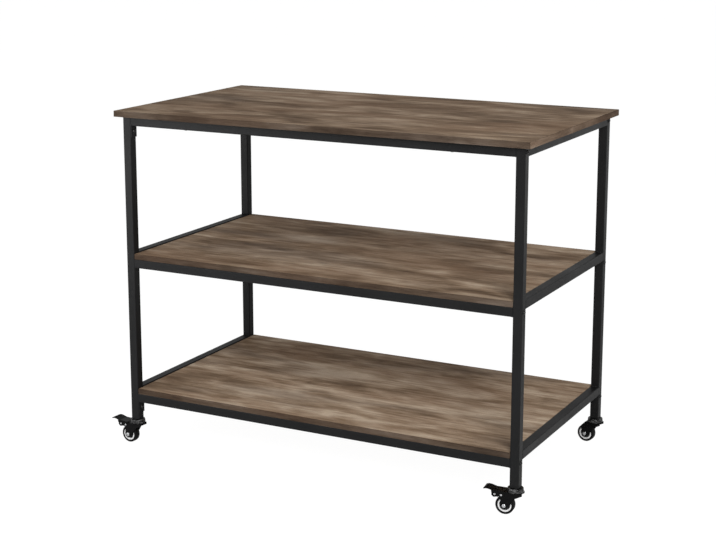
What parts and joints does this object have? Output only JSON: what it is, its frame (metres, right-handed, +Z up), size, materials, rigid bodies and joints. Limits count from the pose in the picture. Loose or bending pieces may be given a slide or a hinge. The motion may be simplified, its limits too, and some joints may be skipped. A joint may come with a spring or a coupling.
{
  "type": "kitchen cart",
  "caption": "Open kitchen trolley with a woodgrain worktop and shelves in a black square-tube frame, on swivel casters with brakes at the front.",
  "frame": {"origin": "on the floor, midway between the four caster stems", "axes": "+X along the cart's length to the right, +Y from the braked front to the back, +Z up"},
  "size_m": [1.2284, 0.644, 0.928],
  "materials": {
    "board": "brown-grey woodgrain laminate, satin",
    "edge_band": "woodgrain edge band, satin",
    "frame_paint": "black powder coat, satin",
    "black_bolt": "black oxide, satin",
    "dull_zinc": "dull zinc plate",
    "bright_zinc": "bright zinc plate",
    "caster_paint": "black paint, semi-gloss",
    "caster_cap": "black plate, semi-gloss",
    "tyre": "black rubber, matt",
    "hub": "light grey moulded plastic"
  },
  "bodies": {
    "frame": {"top_board": "board", "top_board_edge_band": "edge_band", "middle_board": "board", "middle_board_edge_band": "edge_band", "bottom_board": "board", "bottom_board_edge_band": "edge_band", "leg_front_left": "frame_paint", "leg_front_right": "frame_paint", "leg_rear_left": "frame_paint", "leg_rear_right": "frame_paint", "side_rail_top_left": "frame_paint", "side_rail_top_right": "frame_paint", "front_rail_top": "frame_paint", "rear_rail_top": "frame_paint", "centre_bar_top": "frame_paint", "side_rail_middle_left": "frame_paint", "side_rail_middle_right": "frame_paint", "front_rail_middle": "frame_paint", "rear_rail_middle": "frame_paint", "centre_bar_middle": "frame_paint", "side_rail_bottom_left": "frame_paint", "side_rail_bottom_right": "frame_paint", "front_rail_bottom": "frame_paint", "rear_rail_bottom": "frame_paint", "centre_bar_bottom": "frame_paint", "rail_end_plates": "frame_paint", "centre_bar_saddles": "frame_paint", "rail_bolts": "black_bolt", "end_plate_screws": "black_bolt", "rail_end_nuts": "dull_zinc", "leg_plate_nuts": "dull_zinc", "leg_foot_plugs": "dull_zinc", "board_screws": "dull_zinc", "caster_stems": "dull_zinc", "caster_swivel_caps": "caster_cap", "caster_bearing_balls": "bright_zinc"},
    "front_left_swivel": {"caster_front_left_fork": "caster_paint", "caster_front_left_axle": "bright_zinc", "brake_front_left_pins": "bright_zinc", "brake_front_left_shoe": "dull_zinc"},
    "front_left_wheel": {"caster_front_left_tyre": "tyre", "caster_front_left_hub": "hub"},
    "front_left_brake_pedal": {"brake_front_left_pedal": "caster_paint"},
    "front_right_swivel": {"caster_front_right_fork": "caster_paint", "caster_front_right_axle": "bright_zinc", "brake_front_right_pins": "bright_zinc", "brake_front_right_shoe": "dull_zinc"},
    "front_right_wheel": {"caster_front_right_tyre": "tyre", "caster_front_right_hub": "hub"},
    "front_right_brake_pedal": {"brake_front_right_pedal": "caster_paint"},
    "rear_left_swivel": {"caster_rear_left_fork": "caster_paint", "caster_rear_left_axle": "bright_zinc"},
    "rear_left_wheel": {"caster_rear_left_tyre": "tyre", "caster_rear_left_hub": "hub"},
    "rear_right_swivel": {"caster_rear_right_fork": "caster_paint", "caster_rear_right_axle": "bright_zinc"},
    "rear_right_wheel": {"caster_rear_right_tyre": "tyre", "caster_rear_right_hub": "hub"}
  },
  "joints": [
    {"name": "front_left_swivel_turn", "type": "hinge", "parent": "frame", "child": "front_left_swivel", "pos_m": [-0.56, -0.294, 0.0598], "axis": [0, 0, 1], "continuous": true},
    {"name": "front_left_wheel_roll", "type": "hinge", "parent": "front_left_swivel", "child": "front_left_wheel", "pos_m": [-0.58497, -0.29269, 0.024], "axis": [-0.0523, -0.9986, 0], "continuous": true},
    {"name": "front_left_brake_pedal_press", "type": "hinge", "parent": "front_left_swivel", "child": "front_left_brake_pedal", "pos_m": [-0.59296, -0.29227, 0.0506], "axis": [-0.0523, -0.9986, 0], "range_deg": [0, 12]},
    {"name": "front_right_swivel_turn", "type": "hinge", "parent": "frame", "child": "front_right_swivel", "pos_m": [0.56, -0.294, 0.0598], "axis": [0, 0, 1], "continuous": true},
    {"name": "front_right_wheel_roll", "type": "hinge", "parent": "front_right_swivel", "child": "front_right_wheel", "pos_m": [0.53514, -0.29661, 0.024], "axis": [0.1045, -0.9945, 0], "continuous": true},
    {"name": "front_right_brake_pedal_press", "type": "hinge", "parent": "front_right_swivel", "child": "front_right_brake_pedal", "pos_m": [0.52718, -0.29745, 0.0506], "axis": [0.1045, -0.9945, 0], "range_deg": [0, 12]},
    {"name": "rear_left_swivel_turn", "type": "hinge", "parent": "frame", "child": "rear_left_swivel", "pos_m": [-0.56, 0.294, 0.0598], "axis": [0, 0, 1], "continuous": true},
    {"name": "rear_left_wheel_roll", "type": "hinge", "parent": "rear_left_swivel", "child": "rear_left_wheel", "pos_m": [-0.58494, 0.29574, 0.024], "axis": [-0.0698, -0.9976, 0], "continuous": true},
    {"name": "rear_right_swivel_turn", "type": "hinge", "parent": "frame", "child": "rear_right_swivel", "pos_m": [0.56, 0.294, 0.0598], "axis": [0, 0, 1], "continuous": true},
    {"name": "rear_right_wheel_roll", "type": "hinge", "parent": "rear_right_swivel", "child": "rear_right_wheel", "pos_m": [0.53514, 0.29661, 0.024], "axis": [-0.1045, -0.9945, 0], "continuous": true}
  ]
}
